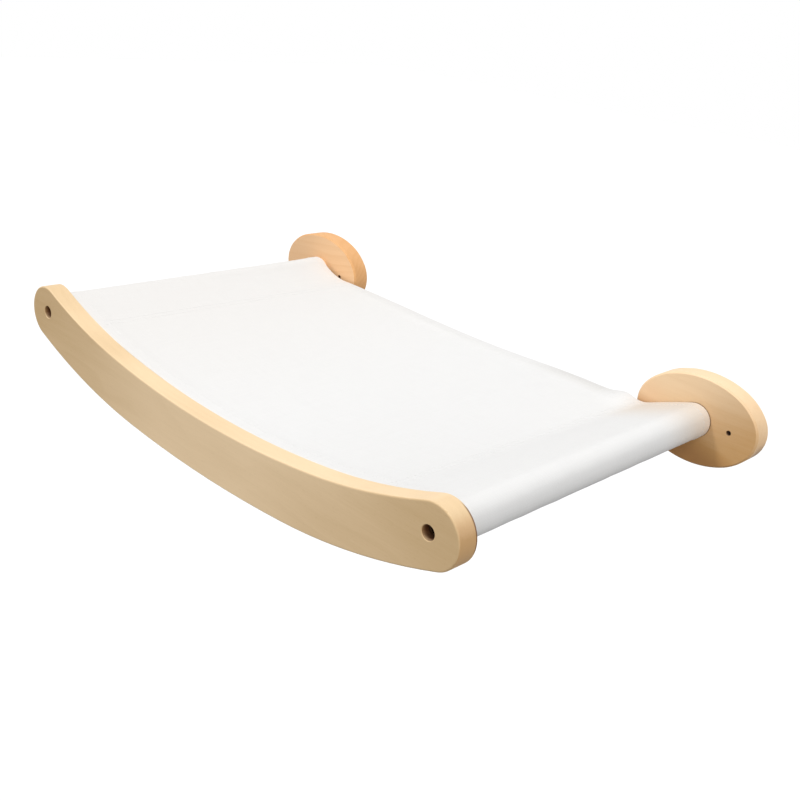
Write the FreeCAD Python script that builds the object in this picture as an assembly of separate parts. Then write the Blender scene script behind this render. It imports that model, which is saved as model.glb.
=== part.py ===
import FreeCAD, Part
import math
import os

# Wall-mounted cat hammock in millimetres. The wall is the plane y = 0, the front rail lies at
# negative y, x runs along the wall and z is up. The origin is on the wall, midway between the two
# dowel axes and level with them.

Vector = FreeCAD.Vector

# Layout
dowel_spacing = 450.0
wall_to_front = 328.0

# Front rail: a board whose long edges sag between two round ends
rail_thickness = 16.5
rail_mid_drop = 14.8          # top edge below the dowel axes, half way along
rail_mid_height = 44.1
rail_end_radius = 22.5
rail_end_overhang = 2.7       # centre of the end round, outboard of the dowel axis
rail_end_drop = 1.1           # and below it
rail_end_slope = 21.2         # degrees, of both long edges where they meet the end round
rail_top_flat_share = 0.54    # part of each long edge that belongs to its flatter middle arc
rail_bottom_flat_share = 0.395
rail_edge_round = 1.2         # on the front face
rail_rear_break = 0.8
rail_recess_diameter = 10.4
rail_recess_depth = 12.0
rail_recess_break = 0.4

# Dowels
dowel_diameter = 25.0
dowel_end_chamfer = 0.8
dowel_bore_run_out = 6.0      # bore left free beyond the insert, for the bolt's tip

# Wall plates: ovals, held to the dowel ends by one bolt each and to the wall by two screws each
plate_width = 108.0
plate_height = 73.0
plate_thickness = 17.5
plate_end_share = 1.06        # radius of the oval's ends, as a share of a true ellipse's
plate_end_turn = 38.0         # degrees, from the long axis to the end of that arc
plate_side_turn = 68.0        # and to the start of the flattest arc
plate_front_break = 1.4
plate_rear_break = 0.6
plate_recess_diameter = 14.0
plate_recess_depth = 9.0
wall_screw_pitch = 60.0
wall_screw_bore = 4.2
swivel_gap = 0.1              # lets the plate turn between the dowel and the washer

# Bolts
bolt_diameter = 6.0
bolt_length = 20.0
bolt_head_diameter = 10.0
bolt_head_height = 6.0
bolt_head_chamfer = 0.6
bolt_hex_flats = 5.0
bolt_hex_depth = 3.0
bolt_clearance = 0.2          # round the bolt in the wood, on the radius

# Washers under the heads of the plate bolts
washer_diameter = 12.0
washer_thickness = 1.6

# Threaded inserts in the dowel ends
insert_diameter = 9.0
insert_length = 14.0
insert_chamfer = 0.7
insert_slot_width = 1.6
insert_slot_depth = 1.8
insert_setback = 0.5
thread_clearance = 0.05       # on the radius, inside and outside the insert

# Sling: one sheet of cloth with a sewn pocket round each dowel
cloth_thickness = 1.0
pocket_ease = 0.3             # between dowel and cloth
pocket_reach = 50.0           # dowel axis to the seam that closes the pocket
seam_front_height = 2.5       # of the seams, from the dowel axes; the sheet sags less at the rear
left_seam_rear_height = -0.9
right_seam_rear_height = -4.7
pocket_bow_radius = 600.0     # of a pocket's upper side
left_pocket_rear_sag = 260.0  # radius; this corner hangs in a hollow beside the dowel
pocket_under_bow_radius = 260.0
panel_front_height = -17.0    # of the sheet half way between the dowels
panel_rear_height = -6.0
sling_front_gap = 1.0         # between cloth and rail
left_rear_gap = 3.5           # between cloth and wall plates
right_rear_gap = 0.8

overrun = 1.0                 # how far cutting tools pass the surface that they cut
same_plane = 0.01             # how near an edge is to a plane that it lies in

rail_front_y = -wall_to_front
rail_rear_y = rail_front_y + rail_thickness
plate_front_y = -plate_thickness
dowel_rear_y = plate_front_y - swivel_gap
dowel_radius = dowel_diameter / 2
bolt_bore_radius = bolt_diameter / 2 + bolt_clearance
along_y = Vector(0, 1, 0)
sides = {"left": -1, "right": 1}


def dowel_axis_x(side):
    return side * dowel_spacing / 2


def cylinder(radius, length, x, y):
    return Part.makeCylinder(radius, length, Vector(x, y, 0), along_y)


def edges_at(shape, y):
    return [edge for edge in shape.Edges if abs(edge.CenterOfMass.y - y) < same_plane]


def arc_about(centre, start, stop):
    """Arc from start to stop about a centre, through the angle half way between theirs."""
    radius = (start - centre).Length
    first = math.atan2(start.z - centre.z, start.x - centre.x)
    last = math.atan2(stop.z - centre.z, stop.x - centre.x)
    middle = (first + last) / 2
    through = centre + Vector(radius * math.cos(middle), 0, radius * math.sin(middle))
    return Part.Arc(start, through, stop).toShape()


def mirrored(point):
    return Vector(-point.x, point.y, point.z)


def symmetric_arc(point, through):
    """Arc from a point's mirror image, by way of a point on the mirror plane, to the point."""
    return Part.Arc(mirrored(point), through, point).toShape()


def rail_edge(mid_z, touch, flat_share):
    """Joint and both centres of a long edge: a flat middle arc, then a tighter arc that meets the
    end round at the end slope. u is the tangent of half the edge's slope at the joint."""
    slope = math.radians(rail_end_slope)
    half_slope = math.tan(slope / 2)
    flat = touch.x * flat_share
    rise = touch.z - mid_z
    a = flat * half_slope
    b = rise * half_slope + touch.x
    c = rise - (touch.x - flat) * half_slope
    u = 2 * c / (b + math.sqrt(b * b - 4 * a * c))
    turn = 2 * math.atan(u)
    middle_radius = flat / math.sin(turn)
    side_radius = (touch.x - flat) / (math.sin(slope) - math.sin(turn))
    middle_centre = Vector(0, 0, mid_z + middle_radius)
    lean = Vector(math.sin(turn), 0, -math.cos(turn))
    joint = middle_centre + lean * middle_radius
    side_centre = joint - lean * side_radius
    return joint, side_centre


def rail_outline():
    slope = math.radians(rail_end_slope)
    end = Vector(dowel_axis_x(1) + rail_end_overhang, 0, -rail_end_drop)
    across = Vector(-math.sin(slope), 0, math.cos(slope)) * rail_end_radius
    top_mid = Vector(0, 0, -rail_mid_drop)
    bottom_mid = Vector(0, 0, -rail_mid_drop - rail_mid_height)
    top_touch = end + across
    bottom_touch = end - across
    top_joint, top_centre = rail_edge(top_mid.z, top_touch, rail_top_flat_share)
    bottom_joint, bottom_centre = rail_edge(bottom_mid.z, bottom_touch, rail_bottom_flat_share)
    right_side = [
        arc_about(top_centre, top_joint, top_touch),
        arc_about(end, top_touch, bottom_touch),
        arc_about(bottom_centre, bottom_touch, bottom_joint),
    ]
    left_side = [edge.mirror(Vector(), Vector(1, 0, 0)) for edge in right_side]
    middles = [symmetric_arc(top_joint, top_mid), symmetric_arc(bottom_joint, bottom_mid)]
    return Part.Wire(Part.__sortEdges__(right_side + left_side + middles))


def board(outline, front_y, thickness):
    outline.translate(Vector(0, front_y, 0))
    return Part.Face(outline).extrude(Vector(0, thickness, 0))


def front_rail():
    rail = board(rail_outline(), rail_front_y, rail_thickness)
    rail = rail.makeFillet(rail_edge_round, edges_at(rail, rail_front_y))
    rail = rail.makeChamfer(rail_rear_break, edges_at(rail, rail_rear_y))
    recess_radius = rail_recess_diameter / 2
    for side in sides.values():
        x = dowel_axis_x(side)
        rail = rail.cut(cylinder(bolt_bore_radius, rail_thickness + 2 * overrun, x, rail_front_y - overrun))
        rail = rail.cut(cylinder(recess_radius, rail_recess_depth + overrun, x, rail_front_y - overrun))
        mouth = Part.makeCone(recess_radius + rail_recess_break + overrun, recess_radius,
                              rail_recess_break + overrun, Vector(x, rail_front_y - overrun, 0), along_y)
        rail = rail.cut(mouth)
    return rail


def plate_outline():
    """Oval close to an ellipse, three tangent arcs to a quarter. The outer two radii follow from
    the half width and half height that are left when the end arc is taken off."""
    first = math.radians(plate_end_turn)
    second = math.radians(plate_side_turn)
    half_width = plate_width / 2
    half_height = plate_height / 2
    end_radius = plate_end_share * half_height ** 2 / half_width
    width_left = half_width - end_radius * (1 - math.cos(first))
    height_left = half_height - end_radius * math.sin(first)
    middle_run = math.cos(first) - math.cos(second)
    middle_rise = math.sin(second) - math.sin(first)
    side_rise = 1 - math.sin(second)
    middle_radius = ((width_left * side_rise - height_left * math.cos(second))
                     / (middle_run * side_rise - middle_rise * math.cos(second)))
    end_centre = Vector(half_width - end_radius, 0, 0)
    first_way = Vector(math.cos(first), 0, math.sin(first))
    second_way = Vector(math.cos(second), 0, math.sin(second))
    end_joint = end_centre + first_way * end_radius
    middle_centre = end_joint - first_way * middle_radius
    side_joint = middle_centre + second_way * middle_radius
    upper = [arc_about(end_centre, Vector(half_width, 0, 0), end_joint),
             arc_about(middle_centre, end_joint, side_joint)]
    upper += [edge.mirror(Vector(), Vector(1, 0, 0)) for edge in upper]
    upper.append(symmetric_arc(side_joint, Vector(0, 0, half_height)))
    lower = [edge.mirror(Vector(), Vector(0, 0, 1)) for edge in upper]
    return Part.Wire(Part.__sortEdges__(upper + lower))


def wall_plate(side):
    x = dowel_axis_x(side)
    outline = plate_outline()
    outline.translate(Vector(x, 0, 0))
    plate = board(outline, plate_front_y, plate_thickness)
    plate = plate.makeChamfer(plate_front_break, edges_at(plate, plate_front_y))
    plate = plate.makeChamfer(plate_rear_break, edges_at(plate, 0))
    drill_length = plate_thickness + 2 * overrun
    plate = plate.cut(cylinder(bolt_bore_radius, drill_length, x, plate_front_y - overrun))
    recess_length = plate_recess_depth + overrun
    plate = plate.cut(cylinder(plate_recess_diameter / 2, recess_length, x, -plate_recess_depth))
    for direction in (-1, 1):
        screw_x = x + direction * wall_screw_pitch / 2
        plate = plate.cut(cylinder(wall_screw_bore / 2, drill_length, screw_x, plate_front_y - overrun))
    return plate


def dowel(side):
    x = dowel_axis_x(side)
    rod = cylinder(dowel_radius, dowel_rear_y - rail_rear_y, x, rail_rear_y)
    rod = rod.makeChamfer(dowel_end_chamfer, edges_at(rod, rail_rear_y) + edges_at(rod, dowel_rear_y))
    bore_radius = insert_diameter / 2 + thread_clearance
    bore_depth = insert_setback + insert_length + dowel_bore_run_out
    rod = rod.cut(cylinder(bore_radius, bore_depth + overrun, x, rail_rear_y - overrun))
    return rod.cut(cylinder(bore_radius, bore_depth + overrun, x, dowel_rear_y - bore_depth))


def end_insert(side, mouth_y, inward):
    """Threaded insert with a driving slot in its outer end, set into a dowel from mouth_y."""
    outer_y = mouth_y + inward * insert_setback
    inner_y = outer_y + inward * insert_length
    x = dowel_axis_x(side)
    body = cylinder(insert_diameter / 2, insert_length, x, min(outer_y, inner_y))
    body = body.makeChamfer(insert_chamfer, edges_at(body, inner_y))
    body = body.cut(cylinder(bolt_diameter / 2 + thread_clearance, insert_length + 2 * overrun, x,
                             min(outer_y, inner_y) - overrun))
    slot_length = insert_diameter + 2 * overrun
    slot_y = min(outer_y - inward * overrun, outer_y + inward * insert_slot_depth)
    slot = Part.makeBox(slot_length, insert_slot_depth + overrun, insert_slot_width,
                        Vector(x - slot_length / 2, slot_y, -insert_slot_width / 2))
    return body.cut(slot)


def cap_bolt(x, seat_y, inward):
    """Socket-head bolt whose head rests on seat_y; inward is the way that its shank points."""
    head = cylinder(bolt_head_diameter / 2, bolt_head_height, 0, -bolt_head_height)
    head = head.makeChamfer(bolt_head_chamfer, edges_at(head, -bolt_head_height))
    shank = cylinder(bolt_diameter / 2, bolt_length, 0, 0)
    corner_radius = bolt_hex_flats / 2 / math.cos(math.pi / 6)
    turns = [math.pi / 3 * corner for corner in range(7)]
    hexagon = Part.makePolygon([Vector(math.cos(turn), 0, math.sin(turn)) * corner_radius for turn in turns])
    hexagon.translate(Vector(0, -bolt_head_height - overrun, 0))
    socket = Part.Face(hexagon).extrude(Vector(0, bolt_hex_depth + overrun, 0))
    bolt = head.fuse(shank).removeSplitter().cut(socket)
    if inward < 0:
        bolt = bolt.mirror(Vector(), along_y)
    bolt.translate(Vector(x, seat_y, 0))
    return bolt


def washer(side):
    x = dowel_axis_x(side)
    seat_y = -plate_recess_depth + swivel_gap
    ring = cylinder(washer_diameter / 2, washer_thickness, x, seat_y)
    return ring.cut(cylinder(bolt_bore_radius, washer_thickness + 2 * overrun, x, seat_y - overrun))


def bow(seam, wrap_radius, bow_radius, rise):
    """Centre of a bowed layer of the pocket and the point where it leaves the dowel. The layer is
    an arc that touches the wrap round the dowel at the origin and ends at the seam. Here x is
    the way from the dowel to the seam, rise is 1 for the upper layer and -1 for the lower, and
    the radius is negative where the layer hangs in a hollow."""
    centre_away = bow_radius - wrap_radius
    seam_away = seam.Length
    cosine = (centre_away ** 2 + seam_away ** 2 - bow_radius ** 2) / (2 * centre_away * seam_away)
    angle = math.atan2(seam.z, seam.x) - rise * math.acos(cosine)
    direction = Vector(math.cos(angle), 0, math.sin(angle))
    return direction * centre_away, direction * -wrap_radius


def crossing(first, first_radius, second, second_radius, seam):
    """The point near the seam where the inner faces of the two layers meet."""
    between = second - first
    distance = between.Length
    along = (distance ** 2 + first_radius ** 2 - second_radius ** 2) / (2 * distance)
    unit = between / distance
    off = Vector(-unit.z, 0, unit.x) * math.sqrt(first_radius ** 2 - along ** 2)
    foot = first + unit * along
    return min(foot + off, foot - off, key=lambda point: (point - seam).Length)


def pocket(side, seam_height, top_bow_radius):
    """Arcs of a pocket's section round the dowel from seam to seam: outer face, then inner face."""
    outer = dowel_radius + pocket_ease + cloth_thickness
    inner = outer - cloth_thickness
    seam = Vector(pocket_reach, 0, seam_height)
    half_sheet = Vector(0, 0, cloth_thickness / 2)
    top_centre, top_leave = bow(seam + half_sheet, outer, top_bow_radius, 1)
    under_centre, under_leave = bow(seam - half_sheet, outer, pocket_under_bow_radius, -1)
    meeting = crossing(under_centre, pocket_under_bow_radius - cloth_thickness,
                       top_centre, top_bow_radius - cloth_thickness, seam)
    outer_far = Vector(-outer, 0, 0)
    inner_far = Vector(-inner, 0, 0)
    shrink = inner / outer
    outer_arcs = [(top_centre, seam + half_sheet, top_leave), (Vector(), top_leave, outer_far),
                  (Vector(), outer_far, under_leave), (under_centre, under_leave, seam - half_sheet)]
    inner_arcs = [(top_centre, meeting, top_leave * shrink), (Vector(), top_leave * shrink, inner_far),
                  (Vector(), inner_far, under_leave * shrink), (under_centre, under_leave * shrink, meeting)]
    return [[section_arc(side, *arc) for arc in arcs] for arcs in (outer_arcs, inner_arcs)]


def section_arc(side, centre, start, stop):
    """Arc of a pocket's section in the part's frame, by way of the point half way along it."""
    middle = ((start - centre) + (stop - centre)).normalize() * (start - centre).Length + centre
    points = [Vector(dowel_axis_x(side) - side * p.x, 0, p.z) for p in (start, middle, stop)]
    return Part.Arc(*points).toShape()


def sling_section(y, left_seam_height, left_bow_radius, panel_height, right_seam_height):
    """Outer wire and the two pocket wires of the sling's section at y."""
    right_outer, right_inner = pocket(1, right_seam_height, pocket_bow_radius)
    left_outer, left_inner = pocket(-1, left_seam_height, left_bow_radius)
    right_seam_x = dowel_axis_x(1) - pocket_reach
    left_seam_x = dowel_axis_x(-1) + pocket_reach
    edges = right_outer + left_outer
    for half in (cloth_thickness / 2, -cloth_thickness / 2):
        edges.append(Part.Arc(Vector(left_seam_x, 0, left_seam_height + half),
                              Vector(0, 0, panel_height + half),
                              Vector(right_seam_x, 0, right_seam_height + half)).toShape())
    wires = []
    for group in (edges, left_inner, right_inner):
        wire = Part.Wire(Part.__sortEdges__(group))
        wire.translate(Vector(0, y, 0))
        wires.append(wire)
    return wires


def sling():
    """Loft from the front section to the rear one, which is turned about the right dowel so that
    the cloth ends further from the left plate."""
    front = sling_section(rail_rear_y + sling_front_gap, seam_front_height, pocket_bow_radius,
                          panel_front_height, seam_front_height)
    rear_y = plate_front_y - right_rear_gap
    rear = sling_section(rear_y, left_seam_rear_height, -left_pocket_rear_sag,
                         panel_rear_height, right_seam_rear_height)
    rear_turn = math.degrees(math.asin((left_rear_gap - right_rear_gap) / dowel_spacing))
    for wire in rear:
        wire.rotate(Vector(dowel_axis_x(1), rear_y, 0), Vector(0, 0, 1), rear_turn)
    cloth, *cavities = [Part.makeLoft([a, b], True, True) for a, b in zip(front, rear)]
    for cavity in cavities:
        cloth = cloth.cut(cavity)
    return cloth


def build():
    nodes = {"front_rail": front_rail(), "sling_cloth": sling()}
    for name, side in sides.items():
        x = dowel_axis_x(side)
        nodes[name + "_wall_plate"] = wall_plate(side)
        nodes[name + "_dowel"] = dowel(side)
        nodes[name + "_rail_bolt"] = cap_bolt(x, rail_front_y + rail_recess_depth, 1)
        nodes[name + "_plate_bolt"] = cap_bolt(x, -plate_recess_depth + swivel_gap + washer_thickness, -1)
        nodes[name + "_plate_washer"] = washer(side)
        nodes[name + "_front_insert"] = end_insert(side, rail_rear_y, 1)
        nodes[name + "_rear_insert"] = end_insert(side, dowel_rear_y, -1)
    return nodes


os.makedirs("parts", exist_ok=True)
for node, shape in build().items():
    box = shape.BoundBox
    print(f"{node:20s} solids {len(shape.Solids)} valid {shape.isValid()} volume {shape.Volume:9.0f}",
          f"x {box.XMin:7.1f} {box.XMax:7.1f} y {box.YMin:7.1f} {box.YMax:7.1f}",
          f"z {box.ZMin:6.1f} {box.ZMax:6.1f}")
    shape.exportStep(f"parts/{node}.step")
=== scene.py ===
import math

import bpy
import numpy as np
from mathutils import Matrix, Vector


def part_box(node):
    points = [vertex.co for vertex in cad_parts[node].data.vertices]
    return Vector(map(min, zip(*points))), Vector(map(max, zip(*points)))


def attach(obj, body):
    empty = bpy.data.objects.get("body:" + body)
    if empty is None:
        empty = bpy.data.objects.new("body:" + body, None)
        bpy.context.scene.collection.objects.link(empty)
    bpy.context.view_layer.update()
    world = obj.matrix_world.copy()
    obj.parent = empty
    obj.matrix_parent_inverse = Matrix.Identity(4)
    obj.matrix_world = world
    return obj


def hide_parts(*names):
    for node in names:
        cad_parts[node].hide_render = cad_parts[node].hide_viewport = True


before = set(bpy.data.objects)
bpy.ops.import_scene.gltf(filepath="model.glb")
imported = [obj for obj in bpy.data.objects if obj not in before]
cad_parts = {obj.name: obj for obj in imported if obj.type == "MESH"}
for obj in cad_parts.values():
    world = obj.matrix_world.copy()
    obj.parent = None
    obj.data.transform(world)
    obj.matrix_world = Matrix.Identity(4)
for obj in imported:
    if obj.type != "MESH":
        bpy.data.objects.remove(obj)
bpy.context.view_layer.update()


# ---- sizes in metres ----

# Read from the frame
dowel_low, dowel_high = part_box("right_dowel")
rail_low, rail_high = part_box("front_rail")
plate_low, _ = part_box("right_wall_plate")
dowel_radius = (dowel_high[0] - dowel_low[0]) / 2
dowel_axis = (dowel_high[0] + dowel_low[0]) / 2
rail_front, rail_rear = rail_low[1], rail_high[1]
plate_front = plate_low[1]

# As in the CAD
recess_radius = 0.0052           # round the bolts in the rail
screw_radius = 0.0021            # of the wall screws' bores
screw_side = 0.030               # dowel axis to such a bore

# The sling's cut
canvas_thickness = 0.0007
canvas_layer = canvas_thickness + 0.00005    # middle of one layer to the middle of the next
pocket_ease = 0.00095            # dowel to the middle of the cloth
pocket_reach = 0.050             # dowel axis to the pocket's seam
pocket_tail = 0.009              # turned-under cloth beyond the seam
under_bow = 0.260                # bow radius of a pocket's lower side
hem_width = 0.011
front_gap = 0.001                # rail to cloth
rear_gaps = (0.0035, 0.0008)     # cloth to the left and to the right plate
# The front and the rear edge: the height of each pocket's seam and the bow radius of its upper
# side, negative where that sags, and points of the panel between the seams
front_edge = {"left": (0.00265, 0.600), "right": (0.00265, 0.600), "panel": [(0.0, -0.01685)]}
rear_edge = {"left": (-0.00075, -0.060), "right": (-0.00455, 0.600),
             "panel": [(-0.098, -0.0031), (0.0, -0.0050), (0.100, -0.0031)]}

# The sling's relief: how far each form stands out, and over what width it fades
hem_lift, hem_fade = 0.00035, 0.005
tail_fade = 0.018
panel_fade = 0.03                # from a seam into the panel
roll_share = 0.8                 # of a pocket's reach that counts as its roll
seam_pucker_reach = 0.006
hem_pucker_reach = 0.005
pull_from_seam, pull_from_edge = 0.07, 0.09
pull_slant = 0.8
corner_lift, corner_x, corner_width, corner_depth = 0.0040, 0.162, 0.011, 0.035
lift_turn = 4                    # how fast the lift changes sides where the cloth turns over
crown_height, crown_inset, crown_fade = 0.0005, 0.011, 0.011
crown_swells = ((0.0010, 0.112, 0.050), (0.0004, -0.055, 0.040))     # height, x, reach

# Its slight folds: height, shortest and longest wave, seed, and the scale of the noise along and
# across the cloth, where less than 1 draws the folds out
seam_pucker = {"height": 0.00004, "waves": (0.006, 0.010), "seed": 3, "scale": (0.15, 1)}
hem_pucker = {"height": 0.00005, "waves": (0.007, 0.012), "seed": 5, "scale": (1, 0.15)}
corner_pulls = {"height": 0.00025, "waves": (0.024, 0.045), "seed": 11, "scale": (1, 0.1)}
broad_folds = {"height": 0.00055, "waves": (0.09, 0.22), "seed": 17, "scale": (1, 0.6)}
panel_crumple = {"height": 0.00006, "waves": (0.012, 0.03), "seed": 23, "scale": (1, 1)}
roll_folds = {"height": 0.00013, "waves": (0.012, 0.035), "seed": 29, "scale": (1, 0.7)}

# Points of its grid
tail_points, under_points, wrap_under_points, wrap_over_points, over_points = 8, 30, 16, 18, 32
panel_points = 150
hem_points, fold_points = 7, 5   # across the turned-under part and round its fold
depth_points = 104

# The thread
stitch_length = 0.0030
stitch_pitch = 0.0036
stitch_radius = 0.00016
stitch_sides = 6
stitch_rings = 6
stitch_taper = 0.94              # 1 would draw the ends to a point
stitch_arch, stitch_bend, stitch_sink = 1.5, 1.35, 0.75
hem_stitch_back = 0.002          # from the hem's inner edge
seam_stitch_shifts = (-0.0012, 0.0036)
tail_stitch_back = 0.0005
sheet_margin = 0.004             # from the sheet's ends
panel_margin = 0.016             # from the seams, under the panel
hem_samples, panel_samples, seam_samples = 900, 500, 400


# ---- cloth ----

def turn(centre, start, stop, count):
    """Points on the circle about a centre, evenly from start to stop by the shorter way."""
    first = math.atan2(start[1] - centre[1], start[0] - centre[0])
    last = math.atan2(stop[1] - centre[1], stop[0] - centre[0])
    last = first + (last - first + math.pi) % (2 * math.pi) - math.pi
    angle = np.linspace(first, last, count)
    radius = math.hypot(*np.subtract(start, centre))
    return centre + radius * np.stack([np.cos(angle), np.sin(angle)], axis=1)


def bow(seam, wrap, radius, rise):
    """Centre of a circle through the seam that touches the wrap round the dowel from outside, and
    the point of touch. The centre lies radius minus wrap from the dowel's axis and radius from the
    seam, and rise is 1 for a bow over the line between those, -1 for one under it."""
    away = radius - wrap
    reach = math.hypot(*seam)
    cosine = (away ** 2 + reach ** 2 - radius ** 2) / (2 * away * reach)
    angle = math.atan2(seam[1], seam[0]) - rise * math.acos(cosine)
    way = np.array([math.cos(angle), math.sin(angle)])
    return way * away, way * -wrap


def panel_height(x, edge):
    """Polynomial through both seams and the given points of the panel."""
    seam_x = dowel_axis - pocket_reach
    points = [(-seam_x, edge["left"][0]), *edge["panel"], (seam_x, edge["right"][0])]
    known_x, known_z = np.array(points).T
    return np.polyval(np.polyfit(known_x, known_z, len(points) - 1), x)


def pocket_path(side, edge):
    """Cloth round one dowel in section, from the end of the turned-under tail to the seam above it:
    a tail under the panel, a shallow arc to the dowel, the wrap round it and an arc to the seam."""
    height, bow_radius = edge["left" if side < 0 else "right"]
    wrap = dowel_radius + pocket_ease
    above = (pocket_reach, height)
    below = (pocket_reach, height - canvas_layer)
    far = (-wrap, 0.0)
    top_centre, top_touch = bow(above, wrap, bow_radius, 1)
    low_centre, low_touch = bow(below, wrap, under_bow, -1)
    tail_x = np.linspace(pocket_reach + pocket_tail, pocket_reach, tail_points)
    tail_z = panel_height(side * (dowel_axis - tail_x), edge) - canvas_layer
    path = np.concatenate([
        np.stack([tail_x, tail_z], axis=1)[:-1],
        turn(low_centre, below, low_touch, under_points)[:-1],
        turn((0, 0), low_touch, far, wrap_under_points)[:-1],
        turn((0, 0), far, top_touch, wrap_over_points)[:-1],
        turn(top_centre, top_touch, above, over_points)])
    return np.stack([side * (dowel_axis - path[:, 0]), path[:, 1]], axis=1)


def cloth_path(edge):
    """The whole sheet in section, from tail to tail by way of the panel, and the index of the first
    seam."""
    left = pocket_path(-1, edge)
    right = pocket_path(1, edge)[::-1]
    x = np.linspace(left[-1, 0], right[0, 0], panel_points)[1:-1]
    panel = np.stack([x, panel_height(x, edge)], axis=1)
    return np.concatenate([left, panel, right]), len(left) - 1


def run_length(points):
    """Length along the points up to each of them."""
    steps = np.linalg.norm(np.diff(points, axis=0), axis=1)
    return np.concatenate([[0.0], np.cumsum(steps)])


def soften(path, place, reach=0.005, rounds=30, step=0.5):
    """Evens out the path about one of its points, most at the point and hardly beyond reach."""
    along = run_length(path)
    weight = np.exp(-((along - along[place]) / reach) ** 2)[1:-1, None]
    for _ in range(rounds):
        middle = (path[:-2] + path[2:]) / 2
        path[1:-1] += (middle - path[1:-1]) * step * weight


def ripples(along, across, height, waves, seed, scale, count=14, peak=1.6):
    """Smooth noise up to about a height: a sum of cosines in random directions, of the given
    wavelengths, divided by about the most that such a sum comes to."""
    rng = np.random.default_rng(seed)
    along, across = along * scale[0], across * scale[1]
    summed = np.zeros(np.broadcast(along, across).shape)
    for _ in range(count):
        heading, phase = rng.uniform(0, 2 * math.pi, 2)
        wave = 2 * math.pi / rng.uniform(*waves)
        summed += np.cos(wave * (along * math.cos(heading) + across * math.sin(heading)) + phase)
    return height * (summed / math.sqrt(count) / peak)


def hem_rows(front, rear):
    """Rows of the sheet from hem to hem as depths and heights over the sheet: back along the
    turned-under front hem, round its fold, along the sheet, round the rear fold and back along the
    rear hem. The third value is the number of rows in one hem."""
    fold = canvas_layer / 2
    angle = np.linspace(-math.pi / 2, math.pi / 2, fold_points + 2)[1:-1]
    under = np.linspace(hem_width, fold, hem_points)
    depth = np.concatenate([under, fold - fold * np.cos(angle)])
    height = np.concatenate([np.full(hem_points, -canvas_layer), fold * np.sin(angle) - fold])
    middle = np.linspace(front + fold, rear - fold, depth_points)
    y = np.concatenate([front + depth, middle, (rear - depth)[::-1]])
    return y, np.concatenate([height, np.zeros(len(middle)), height[::-1]]), len(depth)


def fade(distance, reach):
    """1 at no distance, 0 from reach on, smooth in between."""
    share = np.clip(np.abs(distance) / reach, 0, 1)
    return 1 - share * share * (3 - 2 * share)


def unit(vectors):
    """Vectors in the last axis brought to length 1."""
    return vectors / np.linalg.norm(vectors, axis=-1, keepdims=True)


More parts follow.
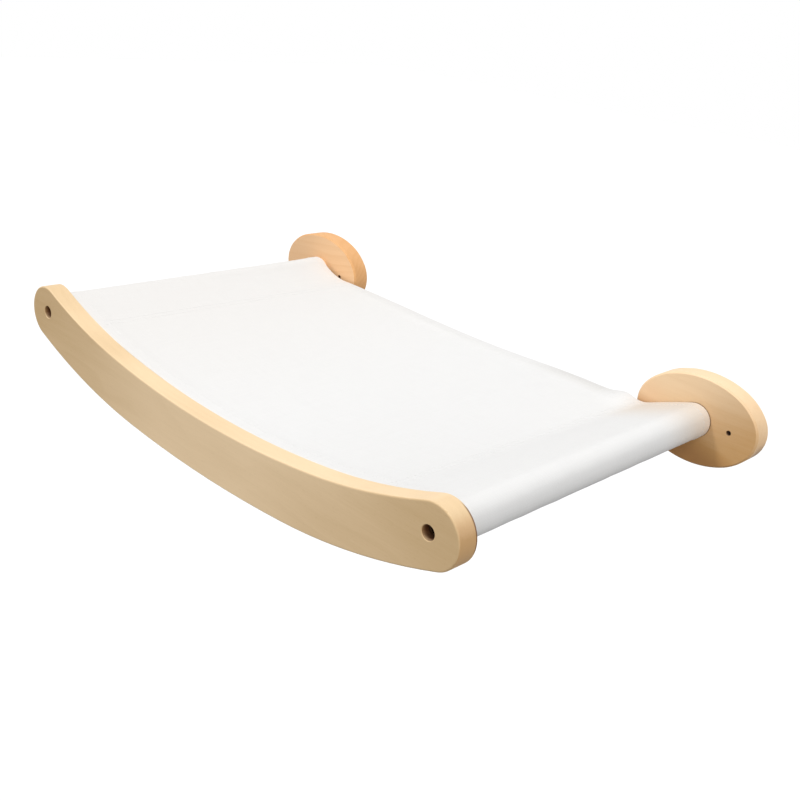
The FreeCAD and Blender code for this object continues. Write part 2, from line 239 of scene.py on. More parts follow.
class Sheet:
    """The sling as a grid: index i runs along the cloth from tail to tail, j from hem to hem."""

    def __init__(self):
        front_y = rail_rear + front_gap
        rear_y = plate_front - rear_gaps[1]
        front, seam = cloth_path(front_edge)
        rear, _ = cloth_path(rear_edge)
        last = len(front) - 1
        for path in (front, rear):
            soften(path, seam)
            soften(path, last - seam)
        self.along = (run_length(front) + run_length(rear)) / 2
        self.seams = (self.along[seam], self.along[last - seam])
        self.length = self.along[-1]
        self.y, height, self.hem_count = hem_rows(front_y, rear_y)

        share = ((self.y - front_y) / (rear_y - front_y))[None, :, None]
        path = front[:, None, :] * (1 - share) + rear[:, None, :] * share
        run = unit(np.gradient(path, axis=0))
        out = np.stack([-run[..., 1], run[..., 0]], axis=2)
        height = height[None, :] + self.relief(path[..., 0], out[..., 1], front_y, rear_y)
        path = path + out * height[..., None]

        # The left side is drawn in, since its gap to the plate is wider
        leftward = (dowel_axis - rear[:, 0]) / (2 * dowel_axis)
        narrower = 1 - (rear_gaps[0] - rear_gaps[1]) * leftward / (rear_y - front_y)
        depth = front_y + (self.y - front_y)[None, :] * narrower[:, None]
        self.points = np.stack([path[..., 0], depth, path[..., 1]], axis=2)
        self.across = run_length(self.points[len(front) // 2])
        along_grid, across_grid = (np.gradient(self.points, axis=axis) for axis in (0, 1))
        self.normals = unit(np.cross(along_grid, across_grid))

    def relief(self, x, out_z, front_y, rear_y):
        """Height over the plain sheet. The hems stand proud, the layers pile up where hem and seam
        cross, the panel's rear edge is crowned, stitching puckers the cloth, and the panel and the
        rolls have slight folds. The right rear corner is lifted, tail and panel together, so the
        tail's height over its own lower side is negative there."""
        along = self.along[:, None]
        across = self.y[None, :]
        from_rear = rear_y - across
        from_edge = np.minimum(across - front_y, from_rear)
        from_end = np.minimum(along, self.length - along)
        from_seam = np.minimum(np.abs(along - self.seams[0]), np.abs(along - self.seams[1]))
        into_panel = np.minimum(along - self.seams[0], self.seams[1] - along)

        in_hem = fade(np.maximum(from_edge - hem_width, 0), hem_fade)
        in_tail = fade(np.maximum(from_end - pocket_tail, 0), tail_fade)
        on_roll = fade(np.abs(x) - dowel_axis, pocket_reach * roll_share)
        on_panel = np.clip(into_panel / panel_fade, 0, 1)
        at_seam = np.exp(-from_seam / seam_pucker_reach)
        at_hem = np.exp(-np.abs(from_edge - hem_width) / hem_pucker_reach)
        at_corner = np.exp(-from_seam / pull_from_seam) * np.exp(-from_edge / pull_from_edge)
        at_lift = np.exp(-((x - corner_x) / corner_width) ** 2) * fade(from_rear, corner_depth)
        upward = np.clip(lift_turn * out_z, -1, 1)
        swells = sum(most * fade(x - middle, reach) for most, middle, reach in crown_swells)

        forms = (hem_lift * in_hem + 2 * canvas_layer * in_hem * in_tail
                 + corner_lift * at_lift * upward
                 + (crown_height + swells) * fade(from_rear - crown_inset, crown_fade) * on_panel)
        slanted = along + across * pull_slant
        return (forms
                + ripples(along, across, **seam_pucker) * at_seam
                + ripples(along, across, **hem_pucker) * at_hem
                + ripples(slanted, across, **corner_pulls) * at_corner * on_panel
                + ripples(along, across, **broad_folds) * on_panel
                + ripples(along, across, **panel_crumple) * (1 - on_roll)
                + ripples(along, across, **roll_folds) * on_roll)

    def place(self, along, row):
        """Points and outward normals at lengths along the cloth and fractional rows across it."""
        in_last_cell = 1.001
        i = np.interp(along, self.along, np.arange(len(self.along)))
        i = np.clip(i, 0, len(self.along) - in_last_cell)
        j = np.clip(row, 0, len(self.y) - in_last_cell)
        low_i, low_j = i.astype(int), j.astype(int)
        part_i, part_j = (i - low_i)[:, None], (j - low_j)[:, None]
        found = []
        for grid in (self.points, self.normals):
            near = grid[low_i, low_j] * (1 - part_i) + grid[low_i + 1, low_j] * part_i
            far = grid[low_i, low_j + 1] * (1 - part_i) + grid[low_i + 1, low_j + 1] * part_i
            found.append(near * (1 - part_j) + far * part_j)
        points, normals = found
        return points, unit(normals)

    def row_at(self, y, under=False):
        """Fractional row of a depth y, on the sheet itself or on the turned-under hem near it."""
        rows = np.arange(len(self.y), dtype=float)
        n = self.hem_count
        if not under:
            return np.interp(y, self.y[n:-n], rows[n:-n])
        if y < (self.y[n] + self.y[-n - 1]) / 2:
            return np.interp(y, self.y[:hem_points][::-1], rows[:hem_points][::-1])
        return np.interp(y, self.y[-hem_points:][::-1], rows[-hem_points:][::-1])


def link_piece(name, mesh):
    """Object of a mesh, shaded smooth, in the scene's collection."""
    mesh.shade_smooth()
    piece = bpy.data.objects.new(name, mesh)
    bpy.context.collection.objects.link(piece)
    return piece


def grid_piece(name, points, u, v):
    """Mesh piece from a grid of points, with a UV map in metres along and across it."""
    rows, columns = points.shape[:2]
    index = np.arange(rows * columns).reshape(rows, columns)
    corners = np.stack([index[:-1, :-1], index[1:, :-1], index[1:, 1:], index[:-1, 1:]], axis=-1)
    corners = corners.reshape(-1, 4)
    mesh = bpy.data.meshes.new(name)
    mesh.from_pydata(points.reshape(-1, 3).tolist(), [], corners.tolist())
    flat = np.stack(np.broadcast_arrays(u[:, None], v[None, :]), axis=-1).reshape(-1, 2)
    layer = mesh.uv_layers.new(name="cloth_metres")
    layer.data.foreach_set("uv", flat[corners.reshape(-1)].astype(np.float32).ravel())
    return link_piece(name, mesh)


def stitch_line(sheet, along, rows):
    """Frames of the stitches on one line: middle, direction, outward normal. The line is given as
    lengths along the cloth and rows across it, and is walked at the stitch pitch."""
    points, normals = sheet.place(*np.broadcast_arrays(along, rows))
    walked = run_length(points)

    def at(distances, values):
        return np.stack([np.interp(distances, walked, values[:, k]) for k in range(3)], axis=1)

    middles = np.arange(stitch_pitch, walked[-1] - stitch_pitch, stitch_pitch)
    point = at(middles, points)
    normal = at(middles, normals)
    way = at(middles + stitch_length / 2, points) - point
    way -= normal * (way * normal).sum(axis=1, keepdims=True)
    return point, unit(way), normal


def stitches(name, lines):
    """Thread piece: each stitch is a tapered tube along a flat arch that dips into the cloth."""
    point, way, normal = (np.concatenate(part) for part in zip(*lines))
    normal = unit(normal)
    basis = np.stack([way, np.cross(way, normal), normal], axis=1)

    step = np.linspace(-1, 1, stitch_rings)
    angle = np.linspace(0, 2 * math.pi, stitch_sides + 1)[:-1]
    thick = stitch_radius * np.sqrt(np.clip(1 - (stitch_taper * step) ** 2, 0, 1))
    arch = stitch_radius * (stitch_arch * np.cos(step * stitch_bend) - stitch_sink)
    along = (step * stitch_length / 2)[:, None] * np.ones(stitch_sides)
    across = thick[:, None] * np.cos(angle)
    over = (canvas_thickness / 2 + arch)[:, None] + thick[:, None] * np.sin(angle)
    tube = np.stack([along, across, over], axis=-1).reshape(-1, 3)
    points = (point[:, None, :] + np.einsum("pk,nkc->npc", tube, basis)).reshape(-1, 3)

    ring = np.arange(stitch_sides)
    turned = np.roll(ring, -1)
    strip = np.stack([ring, turned, turned + stitch_sides, ring + stitch_sides], axis=1)
    walls = np.concatenate([strip + stitch_sides * r for r in range(stitch_rings - 1)])
    caps = np.stack([ring[::-1], ring + stitch_sides * (stitch_rings - 1)])
    start = (np.arange(len(point)) * len(tube))[:, None, None]
    faces = (walls[None] + start).reshape(-1, 4).tolist()
    faces += (caps[None] + start).reshape(-1, stitch_sides).tolist()
    mesh = bpy.data.meshes.new(name)
    mesh.from_pydata(points.tolist(), [], faces)
    return link_piece(name, mesh)


def thread_lines(sheet):
    """Stitch lines along both hems, over and under the sheet, and two along each seam, through the
    panel and through the tail below it."""
    n = sheet.hem_count
    whole = np.linspace(sheet_margin, sheet.length - sheet_margin, hem_samples)
    panel = np.linspace(sheet.seams[0] + panel_margin, sheet.seams[1] - panel_margin, panel_samples)
    rows = np.linspace(n + 1, len(sheet.y) - n - 2, seam_samples)
    inset = hem_width - hem_stitch_back
    lines = []
    for y in (sheet.y[n] + inset, sheet.y[-n - 1] - inset):
        lines.append(stitch_line(sheet, whole, sheet.row_at(y)))
        lines.append(stitch_line(sheet, panel, sheet.row_at(y, under=True)))
    for seam, inward in zip(sheet.seams, (1, -1)):
        for shift in seam_stitch_shifts:
            lines.append(stitch_line(sheet, seam + inward * shift, rows))
            tail = pocket_tail - tail_stitch_back - shift
            lines.append(stitch_line(sheet, tail if inward > 0 else sheet.length - tail, rows))
    return lines


sheet = Sheet()
sling = grid_piece("canvas_sling", sheet.points, sheet.along, sheet.across)
body = sling.modifiers.new("canvas thickness", "SOLIDIFY")
body.thickness = canvas_thickness
body.offset = 0.0
body.use_even_offset = True
body.use_quality_normals = True
thread = stitches("canvas_stitching", thread_lines(sheet))


# ---- nodes ----

colour, number, vector = "NodeSocketColor", "NodeSocketFloat", "NodeSocketVector"


def set_input(tree, socket, value):
    """Links a socket to the input, or sets anything else as its value."""
    if isinstance(value, bpy.types.NodeSocket):
        tree.links.new(value, socket)
    else:
        socket.default_value = value


def add(tree, kind, inputs=None, **settings):
    """A node with its settings and inputs."""
    made = tree.nodes.new(kind)
    for name, value in settings.items():
        setattr(made, name, value)
    for name, value in (inputs or {}).items():
        set_input(tree, made.inputs[name], value)
    return made


def calc(tree, operation, *values, clamp=False):
    """Math node on sockets or numbers."""
    inputs = dict(enumerate(values))
    return add(tree, "ShaderNodeMath", inputs, operation=operation, use_clamp=clamp).outputs[0]


def total(tree, *values):
    """Sum of sockets or numbers."""
    result = values[0]
    for value in values[1:]:
        result = calc(tree, "ADD", result, value)
    return result


def product(tree, *values):
    """Product of sockets or numbers."""
    result = values[0]
    for value in values[1:]:
        result = calc(tree, "MULTIPLY", result, value)
    return result


def vector_calc(tree, operation, *values, output=0):
    """Vector Math node on sockets or vectors."""
    inputs = dict(enumerate(values))
    return add(tree, "ShaderNodeVectorMath", inputs, operation=operation).outputs[output]


def split(tree, source):
    """The x, y and z of a vector."""
    return add(tree, "ShaderNodeSeparateXYZ", {"Vector": source}).outputs


def coordinates(tree, kind):
    """Texture coordinates by their name: Object or Normal."""
    return add(tree, "ShaderNodeTexCoord").outputs[kind]


def remap(tree, value, low, high, to_low=0.0, to_high=1.0):
    """Smooth step from one range to another."""
    inputs = {"Value": value, "From Min": low, "From Max": high,
              "To Min": to_low, "To Max": to_high}
    made = add(tree, "ShaderNodeMapRange", inputs, interpolation_type="SMOOTHSTEP")
    return made.outputs[0]


def mix_colour(tree, share, first, second, blend="MIX"):
    """Mix node for colours: its sockets 0, 6 and 7 are the share and both colours."""
    made = add(tree, "ShaderNodeMix", data_type="RGBA", blend_type=blend)
    for place, value in ((0, share), (6, first), (7, second)):
        set_input(tree, made.inputs[place], value)
    return made.outputs[2]


def noise(tree, place, scale, detail, rough=0.5):
    """Noise with a scale in waves per metre, either one number or one for each axis."""
    if isinstance(scale, tuple):
        place = add(tree, "ShaderNodeMapping", {"Vector": place, "Scale": scale}).outputs[0]
        scale = 1.0
    inputs = {"Vector": place, "Scale": scale, "Detail": detail, "Roughness": rough}
    return add(tree, "ShaderNodeTexNoise", inputs).outputs["Fac"]


def group(name, inputs):
    """Empty node group with named inputs, given as (name, kind, value), and the outputs that every
    material here takes: colour, roughness and height."""
    tree = bpy.data.node_groups.new(name, "ShaderNodeTree")
    for label, kind, value in inputs:
        socket = tree.interface.new_socket(label, in_out="INPUT", socket_type=kind)
        if value is not None:
            socket.default_value = value
    for label, kind in (("Color", colour), ("Roughness", number), ("Height", number)):
        tree.interface.new_socket(label, in_out="OUTPUT", socket_type=kind)
    return tree, add(tree, "NodeGroupInput").outputs, add(tree, "NodeGroupOutput").inputs


# ---- wood, cloth and metal as node groups ----

# Dark brown that painted shade in the wood mixes towards
painted_shade_brown = (0.100, 0.026, 0.006, 1)
# Rosy tint for the wood's own tone and for the hue of painted shadow
blush_and_shadow_tint = (1.0, 0.78, 0.70, 1)
# Tint of the painted warm reflection from the wood onto the cloth
painted_reflection_tint = (0.92, 0.80, 0.68, 1)
# Grey of the painted shade along the cloth's rear edge
painted_shade_grey = (0.60, 0.585, 0.56, 1)


def sawn_wood():
    """Grain of a board whose length is the vector's x: growth rings as cylinders about a pith
    beside the board, bent by slow noise, with fine fibres, short dark pores and a slow change of
    tone. One input moves the tone from pale to deep, for the wood's own tone and for painted light;
    one makes it rosier, for the wood's own tone and for painted shadow; one darkens it as painted
    shade."""
    ring_bend, ring_sway = 0.034, 0.005              # metres
    fibre_share, streak_share = 0.6, 0.4
    tone_swing = 0.12
    fibre_height, pore_depth = 0.5, 1.2
    gloss_loss = 0.14                                # where the wood is deepest

    tree, given, made = group("sawn wood", [
        ("Vector", vector, None),
        ("Pale", colour, (0.8, 0.6, 0.4, 1)), ("Deep", colour, (0.6, 0.4, 0.2, 1)),
        ("Pith Side", number, 0.03), ("Pith Depth", number, 0.05), ("Ring Width", number, 0.004),
        ("Ring Strength", number, 0.4), ("Fibre Strength", number, 0.3),
        ("Pore Strength", number, 0.3), ("Tone And Painted Light", number, 0.0), ("Shade", number, 0.0),
        ("Blush And Painted Shadow", number, 0.0), ("Gloss", number, 0.5)])
    place = given["Vector"]
    parts = split(tree, place)

    # Rings: the distance from the pith, counted in ring widths. Late wood deepens through a ring
    # and ends with it.
    bend = noise(tree, place, (5, 14, 14), detail=2.0)
    sway = noise(tree, place, (11, 40, 40), detail=3.0)
    shift = total(tree, product(tree, bend, ring_bend), product(tree, sway, ring_sway))
    aside = calc(tree, "SUBTRACT", parts[1], given["Pith Side"])
    under = calc(tree, "SUBTRACT", parts[2], given["Pith Depth"])
    squares = total(tree, product(tree, aside, aside), product(tree, under, under))
    radius = total(tree, calc(tree, "SQRT", squares), shift)
    phase = calc(tree, "FRACT", calc(tree, "DIVIDE", radius, given["Ring Width"]))
    late_wood = product(tree, remap(tree, phase, 0.25, 0.9), remap(tree, phase, 1.0, 0.93))
    strong = remap(tree, noise(tree, place, (9, 60, 60), detail=1.0), 0.3, 0.75, 0.35, 1.0)
    rings = product(tree, late_wood, strong, given["Ring Strength"])

    # Fibres, pores where the finest noise peaks, and tone
    fibre = noise(tree, place, (28, 900, 900), detail=4.0, rough=0.6)
    streak = noise(tree, place, (7, 220, 220), detail=2.0)
    mixed = total(tree, product(tree, fibre, fibre_share), product(tree, streak, streak_share))
    fibres = product(tree, mixed, given["Fibre Strength"])
    fleck = noise(tree, place, (260, 2400, 2400), detail=0.0)
    pores = product(tree, remap(tree, fleck, 0.70, 0.80), given["Pore Strength"])
    cloud = noise(tree, place, (6, 16, 16), detail=2.0)
    tone = remap(tree, cloud, 0.25, 0.75, -tone_swing, tone_swing)
    marks = total(tree, total(tree, rings, fibres), total(tree, pores, tone))
    depth = calc(tree, "ADD", marks, given["Tone And Painted Light"], clamp=True)

    board = mix_colour(tree, depth, given["Pale"], given["Deep"])
    board = mix_colour(tree, given["Blush And Painted Shadow"], board, blush_and_shadow_tint, "MULTIPLY")
    rough = total(tree, given["Gloss"], product(tree, depth, gloss_loss))
    raised, sunk = product(tree, fibre, fibre_height), product(tree, pores, pore_depth)
    set_input(tree, made["Color"], mix_colour(tree, given["Shade"], board, painted_shade_brown))
    set_input(tree, made["Roughness"], rough)
    set_input(tree, made["Height"], calc(tree, "SUBTRACT", raised, sunk))
    return tree


def plain_weave():
    """Plain weave on a vector in metres: each thread is a rounded ridge that rises over one
    crossing thread and dips under the next, with thicker slubs, and its tone follows the height,
    darker where the threads dip as painted shade. One input paints in the warm light that wood
    nearby reflects onto it, another greys it as painted shade."""
    thread_drift = 0.0016                            # metres
    crossing = 0.25                                  # softness of the change from over to under
    slub_height = 1.5

    tree, given, made = group("plain weave", [
        ("Vector", vector, None),
        ("Cloth", colour, (0.8, 0.78, 0.76, 1)), ("Gap", colour, (0.6, 0.58, 0.55, 1)),
        ("Thread Width", number, 0.0008), ("Slub Strength", number, 0.2),
        ("Painted Warm Reflection", number, 0.0), ("Painted Shade Grey", number, 0.0)])
    place = given["Vector"]
    parts = split(tree, place)
    drift = product(tree, noise(tree, place, 60.0, detail=2.0), thread_drift)
    drifted = [total(tree, parts[axis], drift) for axis in (0, 1)]
    threads = [calc(tree, "DIVIDE", way, given["Thread Width"]) for way in drifted]
    waves = [calc(tree, "SINE", product(tree, count, math.pi)) for count in threads]
    ridges = [calc(tree, "ABSOLUTE", wave) for wave in waves]
    over = remap(tree, product(tree, *waves), -crossing, crossing)
    weave = total(tree, product(tree, ridges[0], over),
                  product(tree, ridges[1], calc(tree, "SUBTRACT", 1.0, over)))
    slub = total(tree, noise(tree, place, (900, 30, 1), detail=2.0),
                 noise(tree, place, (30, 900, 1), detail=2.0))
    slubs = product(tree, calc(tree, "SUBTRACT", slub, 1.0), given["Slub Strength"])
    light = calc(tree, "ADD", weave, slubs, clamp=True)

    cloth = mix_colour(tree, light, given["Gap"], given["Cloth"])
    warm = mix_colour(tree, given["Painted Warm Reflection"], cloth, painted_reflection_tint, "MULTIPLY")
    set_input(tree, made["Color"], mix_colour(tree, given["Painted Shade Grey"], warm, painted_shade_grey))
    set_input(tree, made["Roughness"], remap(tree, light, 0.0, 1.0, 0.98, 0.86))
    set_input(tree, made["Height"], total(tree, weave, product(tree, slubs, slub_height)))
    return tree


def turned_metal():
    """Fine rings about the hammock's dowel axes, as a lathe leaves them, with uneven patches."""
    ring_share, patch_share = 0.4, 0.6
    gloss_loss = 0.25

    tree, given, made = group("turned metal", [
        ("Vector", vector, None),
        ("Bright", colour, (0.6, 0.6, 0.6, 1)), ("Dull", colour, (0.4, 0.4, 0.4, 1)),
        ("Polish", number, 0.3)])
    place = given["Vector"]
    parts = split(tree, place)
    aside = calc(tree, "SUBTRACT", calc(tree, "ABSOLUTE", parts[0]), dowel_axis)
    squares = total(tree, product(tree, aside, aside), product(tree, parts[2], parts[2]))
    radius = calc(tree, "SQRT", squares)
    profile = add(tree, "ShaderNodeCombineXYZ", {"X": radius, "Y": parts[1]}).outputs[0]
    rings = noise(tree, profile, 9000.0, detail=1.0)
    patches = noise(tree, place, 700.0, detail=3.0)
    shares = product(tree, rings, ring_share), product(tree, patches, patch_share)
    dull = calc(tree, "ADD", *shares, clamp=True)
    rough = total(tree, given["Polish"], product(tree, dull, gloss_loss))
    set_input(tree, made["Color"], mix_colour(tree, dull, given["Bright"], given["Dull"]))
    set_input(tree, made["Roughness"], rough)
    set_input(tree, made["Height"], rings)
    return tree


# ---- masks: functions that make a socket in a tree ----

right, left, up, forward, back = (1, 0, 0), (-1, 0, 0), (0, 0, 1), (0, -1, 0), (0, 1, 0)


def slope(way, start, stop, most=1.0):
    """Grows from 0 to most along a direction, between two distances from the origin."""
    def make(tree):
        along = vector_calc(tree, "DOT_PRODUCT", coordinates(tree, "Object"), way, output="Value")
        return remap(tree, along, start, stop, 0.0, most)
    return make


def facing(way, low, high, most=1.0):
    """Grows from 0 to most as the surface turns towards a direction."""
    def make(tree):
        towards = vector_calc(tree, "DOT_PRODUCT", coordinates(tree, "Normal"), way, output="Value")
        return remap(tree, towards, low, high, 0.0, most)
    return make


def edge_grain(most=1.0, face=0.99, edge=0.75):
    """Most on the edges of a board whose faces look along y. Face and edge are the parts of the
    normal along y between which it changes."""
    def make(tree):
        part = calc(tree, "ABSOLUTE", split(tree, coordinates(tree, "Normal"))[1])
        return remap(tree, part, face, edge, 0.0, most)
    return make


def beside(place, far, near, most=1.0):
    """Grows round one point, from 0 at the far distance to most at the near one."""
    def make(tree):
        away = vector_calc(tree, "DISTANCE", coordinates(tree, "Object"), place, output="Value")
        return remap(tree, away, far, near, 0.0, most)
    return make


def drilled(axes, radius, mouth, reach, most, at_mouth=0.47):
    """Painted shade on the walls of bores along y, darker from the mouth inwards."""
    beyond, within = radius + 0.0001, radius + 0.00005
    def make(tree):
        source = coordinates(tree, "Object")
        found = []
        for axis in axes:
            away = vector_calc(tree, "SUBTRACT", source, (axis, 0, 0))
            flat = vector_calc(tree, "MULTIPLY", away, (1, 0, 1))
            length = vector_calc(tree, "LENGTH", flat, output="Value")
            found.append(remap(tree, length, beyond, within))
        depth = split(tree, source)[1]
        dark = remap(tree, depth, mouth, mouth + reach, at_mouth, most)
        return product(tree, calc(tree, "MAXIMUM", *found), dark)
    return make


def sum_of(*masks):
    """Masks added up."""
    return lambda tree: total(tree, *[mask(tree) for mask in masks])


def all_of(*masks):
    """Masks multiplied."""
    return lambda tree: product(tree, *[mask(tree) for mask in masks])


# ---- materials ----

def object_place(origin=(0, 0, 0), turned=(0, 0, 0)):
    """Object coordinates moved so that origin is at zero, then turned."""
    def make(tree):
        shift = {"Vector": coordinates(tree, "Object"), "Location": tuple(-part for part in origin)}
        moved = add(tree, "ShaderNodeMapping", shift).outputs[0]
        return add(tree, "ShaderNodeMapping", {"Vector": moved, "Rotation": turned}).outputs[0]
    return make


def cloth_place(tree):
    """The sling's own metres along and across it."""
    return add(tree, "ShaderNodeUVMap", uv_map="cloth_metres").outputs[0]


def dressed(name, source, inputs, place, bump, shader, masks=None):
    """Material whose Principled BSDF takes colour, roughness and bump from one node group. Bump is
    a distance and a strength, and masks go to the inputs of the group that they are named for."""
    material = bpy.data.materials.new(name)
    material.use_nodes = True
    tree = material.node_tree
    tree.nodes.clear()
    made_masks = {label: make(tree) for label, make in (masks or {}).items()}
    inputs = {"Vector": place(tree), **inputs, **made_masks}
    detail = add(tree, "ShaderNodeGroup", inputs, node_tree=source).outputs
    raised = add(tree, "ShaderNodeBump", {
        "Height": detail["Height"], "Distance": bump[0], "Strength": bump[1]})
    surface = add(tree, "ShaderNodeBsdfPrincipled", {
        "Base Color": detail["Color"], "Roughness": detail["Roughness"],
        "Normal": raised.outputs[0], **shader})
    add(tree, "ShaderNodeOutputMaterial", {"Surface": surface.outputs[0]})
    return material


wood = sawn_wood()
weave = plain_weave()
metal = turned_metal()


def board(name, pale, deep, pith, ring_width, strengths, place, masks=None):
    """Wood material. Pith is its side and depth, strengths are those of rings, fibres and pores."""
    rings, fibres, pores = strengths
    inputs = {"Pale": (*pale, 1), "Deep": (*deep, 1), "Pith Side": pith[0], "Pith Depth": pith[1],
              "Ring Width": ring_width, "Ring Strength": rings, "Fibre Strength": fibres,
              "Pore Strength": pores, "Gloss": 0.5}
    return dressed(name, wood, inputs, place, bump=(0.00012, 0.5),
                   shader={"Specular IOR Level": 0.22}, masks=masks)


def metal_finish(name, bright, dull, polish, metallic=1.0):
    """Turned metal material."""
    inputs = {"Bright": (*bright, 1), "Dull": (*dull, 1), "Polish": polish}
    return dressed(name, metal, inputs, object_place(), bump=(0.00001, 0.3),
                   shader={"Metallic": metallic})


def screw_bores(axis):
    """Mask of painted shade in both screw bores in the plate on a dowel axis."""
    axes = (axis - screw_side, axis + screw_side)
    return drilled(axes, screw_radius, plate_front, reach=0.003, most=0.9)


def under_roll(most):
    """Mask of the right plate below a line through the roll, where that shades it."""
    return slope((-0.3, 0, -0.95), -0.062, -0.040, most)


front_face = facing(forward, 0.4, 0.9)

# The rail, whose tone changes from place to place as in the photograph
rail_wood = board(
    "rail wood", pale=(0.90, 0.69, 0.445), deep=(0.54, 0.365, 0.175), pith=(0.035, -0.12),
    ring_width=0.0065, strengths=(0.045, 0.26, 0.12), place=object_place(), masks={
        "Tone And Painted Light": sum_of(
            # Deeper towards both ends
            slope(right, -0.02, 0.28, 0.58), slope(left, 0.05, 0.28, 0.74),
            # Painted highlight on the top: paler on the right, at the left end and before the right
            # end
            all_of(facing(up, 0.5, 0.95, -0.40), slope(right, 0.0, 0.20)),
            all_of(facing(up, 0.25, 0.65, -0.42), slope(left, 0.12, 0.19)),
            all_of(facing((-0.6, 0, 0.8), 0.80, 0.93, -0.17), slope(right, 0.16, 0.20)),
            # A deeper patch left of the middle of the front
            all_of(front_face, beside((-0.125, rail_front, -0.035), 0.110, 0.020, 0.16)),
            # Painted shade, deeper on the underside of the right end, and on all of the top a
            # little
            facing((0.87, 0, -0.5), 0.5, 0.95, 0.50), facing(up, 0.5, 0.95, 0.10)),
        "Shade": sum_of(
            # Painted shade in the bolt recesses
            drilled((-dowel_axis, dowel_axis), recess_radius, rail_front, reach=0.0045, most=0.90),
            # Painted shade on the broken rear edge round the right end
            all_of(slope(back, rail_rear - 0.0024, rail_rear - 0.0012, 0.85),
                   facing((0.90, 0, 0.44), 0.60, 0.90), slope(right, 0.20, 0.23))),
        "Blush And Painted Shadow": facing(right, 0.5, 0.95, 0.42)})

dowel_wood = board(
    "dowel wood", pale=(0.86, 0.71, 0.52), deep=(0.66, 0.47, 0.29), pith=(0.05, 0.03),
    ring_width=0.004, strengths=(0.16, 0.30, 0.16), place=object_place(turned=(0, 0, math.pi / 2)))

right_plate_wood = board(
    "right plate wood", pale=(0.88, 0.655, 0.42), deep=(0.60, 0.34, 0.13), pith=(0.03, -0.07),
    ring_width=0.0055, strengths=(0.055, 0.26, 0.12),
    place=object_place((dowel_axis, 0, 0)), masks={
        "Tone And Painted Light": sum_of(
            # Painted shade: the front deepens from the upper left to the lower right, most in the
            # roll's painted shadow
            all_of(front_face, sum_of(
                slope((0.5, 0, -0.87), dowel_axis / 2 - 0.032, dowel_axis / 2 + 0.040, 0.74),
                under_roll(0.68))),
            # The rim, with painted shade on its lower and its upper right
            edge_grain(-0.02),
            all_of(edge_grain(), sum_of(
                facing((0.7, 0, -0.7), 0.4, 0.9, 0.30), facing((0.9, 0, 0.4), 0.7, 0.98, 0.16)))),
        "Shade": sum_of(
            # Painted shade in the screw bores
            screw_bores(dowel_axis),
            # The roll's painted shadow on the front
            all_of(front_face, under_roll(0.31)),
            # Painted shade at the joint with the dowel, and on the rim's lower right towards the
            # wall
            beside((dowel_axis, plate_front, 0), 0.0150, 0.0135, 0.80),
            all_of(slope(back, -0.0180, -0.0060), facing((0.5, 0, -0.87), 0.50, 0.90, 0.60))),
        "Blush And Painted Shadow": sum_of(
            # Rosier in the roll's painted shadow
            all_of(front_face, under_roll(0.34)),
            # The left tip
            beside((dowel_axis - 0.050, plate_front, 0), 0.030, 0.008, 0.24))})

left_grain = (0, math.radians(9), 0)
left_plate_wood = board(
    "left plate wood", pale=(0.92, 0.60, 0.345), deep=(0.70, 0.37, 0.15), pith=(0.02, -0.045),
    ring_width=0.0050, strengths=(0.15, 0.28, 0.14),
    place=object_place((-dowel_axis, 0, 0), left_grain),
    # Painted shade in the screw bores
    masks={"Tone And Painted Light": edge_grain(0.70), "Shade": screw_bores(-dowel_axis)})

# The cloth has a painted warm reflection from the wood at its right rear corner and a little on the
# left, and painted shade greys it along its rear edge
canvas = dressed(
    "canvas", weave, {
        "Cloth": (0.772, 0.768, 0.758, 1), "Gap": (0.662, 0.658, 0.648, 1),
        "Thread Width": 0.00085, "Slub Strength": 0.35},
    cloth_place, bump=(0.00010, 0.45),
    shader={"Specular IOR Level": 0.2, "Sheen Weight": 0.08, "Sheen Roughness": 0.6}, masks={
        "Painted Warm Reflection": sum_of(
            all_of(slope(back, -0.090, plate_front), slope(right, 0.166, 0.188, 0.90)),
            slope(left, -0.05, 0.20, 0.14)),
        "Painted Shade Grey": all_of(slope(back, plate_front - 0.025, plate_front - 0.010), sum_of(
            facing(up, 0.5, 0.8, 0.14),
            all_of(slope(right, 0.060, 0.110, 0.42), slope(left, -0.158, -0.138))))})

sewing_thread = dressed(
    "sewing thread", weave, {
        "Cloth": (0.80, 0.795, 0.785, 1), "Gap": (0.72, 0.71, 0.70, 1),
        "Thread Width": 0.0004, "Slub Strength": 0.2},
    object_place(), bump=(0.00004, 0.5), shader={"Specular IOR Level": 0.3, "Sheen Weight": 0.1})

black_steel = metal_finish("black steel", bright=(0.105, 0.058, 0.030),
                           dull=(0.046, 0.025, 0.013), polish=0.42, metallic=0.85)
plated_steel = metal_finish("plated steel", bright=(0.66, 0.66, 0.64),
                            dull=(0.48, 0.48, 0.47), polish=0.28)
brass = metal_finish("insert brass", bright=(0.80, 0.62, 0.30),
                     dull=(0.58, 0.42, 0.18), polish=0.26)

finishes = {"front_rail": rail_wood, "left_wall_plate": left_plate_wood,
            "right_wall_plate": right_plate_wood}
for side in ("left", "right"):
    finishes[side + "_dowel"] = dowel_wood
    finishes[side + "_rail_bolt"] = black_steel
    finishes[side + "_plate_bolt"] = black_steel
    finishes[side + "_plate_washer"] = plated_steel
    finishes[side + "_front_insert"] = brass
    finishes[side + "_rear_insert"] = brass
for name, material in finishes.items():
    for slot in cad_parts[name].material_slots:
        slot.material = material
sling.data.materials.append(canvas)
thread.data.materials.append(sewing_thread)

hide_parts("sling_cloth")
for piece in (sling, thread):
    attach(piece, "hammock_frame")


# ---- floor, light, camera ----

def seen_directly(tree, *rays):
    """1 for the given kinds of ray, 0 for light that falls on the object."""
    seen = add(tree, "ShaderNodeLightPath").outputs
    share = seen[rays[0]]
    for ray in rays[1:-1]:
        share = calc(tree, "ADD", share, seen[ray])
    return calc(tree, "ADD", share, seen[rays[-1]], clamp=True)


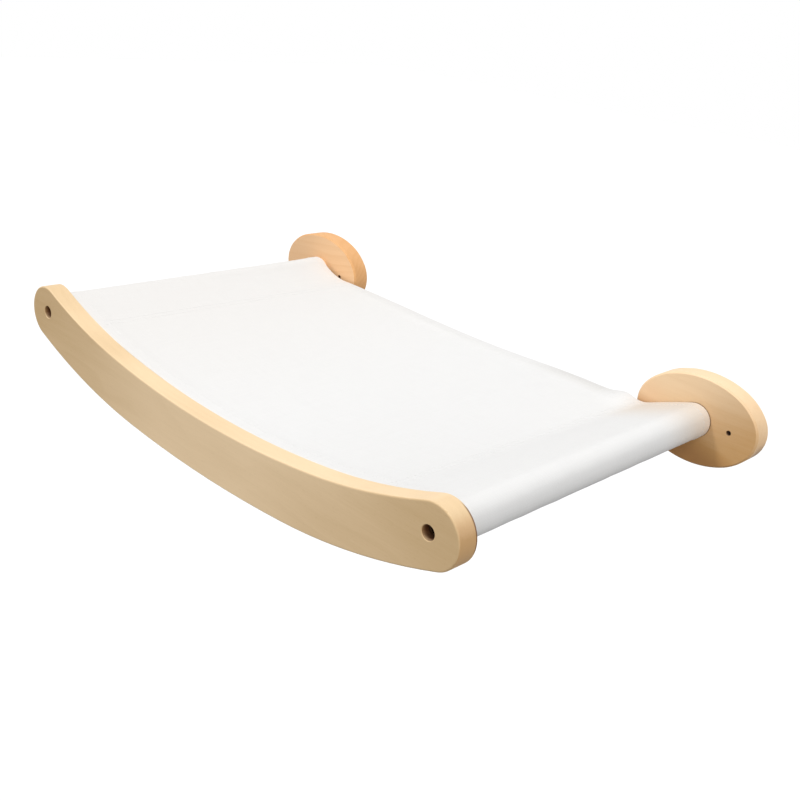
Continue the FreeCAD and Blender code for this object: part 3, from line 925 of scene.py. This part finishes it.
def floor():
    """Wide plane far below the hammock, as under a shelf on a wall, white to the camera."""
    half, height = 12.0, -1.25
    lit, shown = (0.26, 0.26, 0.26, 1), (0.86, 0.86, 0.86, 1)
    mesh = bpy.data.meshes.new("floor")
    corners = [(-half, -half), (half, -half), (half, half), (-half, half)]
    mesh.from_pydata([(*corner, height) for corner in corners], [], [(0, 1, 2, 3)])
    piece = bpy.data.objects.new("floor", mesh)
    bpy.context.collection.objects.link(piece)
    material = bpy.data.materials.new("floor paint")
    material.use_nodes = True
    tree = material.node_tree
    tree.nodes.clear()
    paint = mix_colour(tree, seen_directly(tree, "Is Camera Ray", "Is Glossy Ray"), lit, shown)
    surface = add(tree, "ShaderNodeBsdfDiffuse", {"Color": paint})
    add(tree, "ShaderNodeOutputMaterial", {"Surface": surface.outputs[0]})
    mesh.materials.append(material)


def studio():
    """Even sky that is white where it is seen, and three broad suns."""
    lit, shown = (0.45, 0.45, 0.455, 1), (1, 1, 1, 1)
    world = bpy.data.worlds.new("studio")
    bpy.context.scene.world = world
    world.use_nodes = True
    tree = world.node_tree
    tree.nodes.clear()
    direct = seen_directly(tree, "Is Camera Ray", "Is Glossy Ray", "Is Transmission Ray")
    sky = mix_colour(tree, direct, lit, shown)
    light = add(tree, "ShaderNodeBackground", {"Color": sky, "Strength": 1.0})
    add(tree, "ShaderNodeOutputWorld", {"Surface": light.outputs[0]})

    # Name, direction of the sun, strength and spread in degrees
    suns = [("key", (-0.50, -0.42, 1.0), 1.62, 14), ("side", (1.0, -0.50, 0.97), 1.75, 45),
            ("back", (-0.30, 1.0, 0.40), 0.25, 60)]
    for name, towards, strength, spread in suns:
        lamp = bpy.data.lights.new(name, "SUN")
        lamp.energy = strength
        lamp.angle = math.radians(spread)
        piece = bpy.data.objects.new(name, lamp)
        bpy.context.collection.objects.link(piece)
        away = unit(np.array(towards))
        side = unit(np.cross((0, 1, 0), away))
        turned = np.eye(4)
        turned[:3, :3] = np.stack([side, np.cross(away, side), away], axis=1)
        piece.matrix_world = Matrix(turned.tolist())


def camera():
    """Camera at the photograph's viewing angle, as fitted to the hammock's outlines there."""
    focal_pixels, image_width = 1048.1, 800
    lens = bpy.data.cameras.new("camera")
    lens.sensor_fit = "HORIZONTAL"
    lens.sensor_width = 36.0
    lens.lens = focal_pixels / image_width * lens.sensor_width
    lens.clip_end = 100.0
    piece = bpy.data.objects.new("camera", lens)
    bpy.context.collection.objects.link(piece)
    axis_right = (0.70664, 0.69916, 0.10879)
    axis_up = (-0.34173, 0.20259, 0.91771)
    axis_back = (0.61958, -0.68567, 0.38208)
    place = (0.56996, -0.74792, 0.30668)
    rows = [list(row) for row in zip(axis_right, axis_up, axis_back, place)]
    piece.matrix_world = Matrix([*rows, [0, 0, 0, 1]])
    bpy.context.scene.camera = piece


floor()
studio()
camera()
bpy.context.scene.view_settings.view_transform = "Standard"
